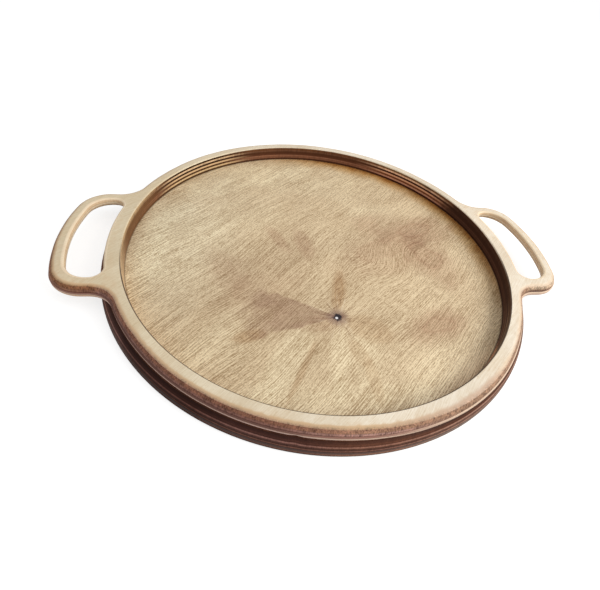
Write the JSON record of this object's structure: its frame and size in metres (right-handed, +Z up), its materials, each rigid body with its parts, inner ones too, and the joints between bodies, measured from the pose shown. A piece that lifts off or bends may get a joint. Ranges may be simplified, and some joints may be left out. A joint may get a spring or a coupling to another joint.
{
  "type": "handled wooden tray",
  "caption": "Round shallow tray routed from laminated birch plywood, with a recessed flat floor, a rounded rim and a loop handle with a finger gap on each side.",
  "frame": {"origin": "centre of the underside, on the table", "axes": "+X runs through both handles, +Y across the tray, +Z up out of the well"},
  "size_m": [0.394, 0.3322, 0.0178],
  "materials": {
    "cream_birch": "sanded and oiled face veneer",
    "light_birch": "oiled long-grain veneer edge",
    "dark_birch": "stained end-grain veneer edge",
    "stained_birch": "stained and oiled veneer"
  },
  "bodies": {
    "root": {"base_face_veneer": "stained_birch", "base_cross_veneer": "dark_birch", "floor_veneer": "stained_birch", "wall_cross_veneer": "dark_birch", "wall_core_veneer": "light_birch", "shoulder_cross_veneer": "dark_birch", "handle_under_veneer": "light_birch", "handle_lower_cross_veneer": "dark_birch", "handle_core_veneer": "light_birch", "handle_upper_cross_veneer": "dark_birch", "top_face_veneer": "cream_birch"}
  },
  "joints": []
}
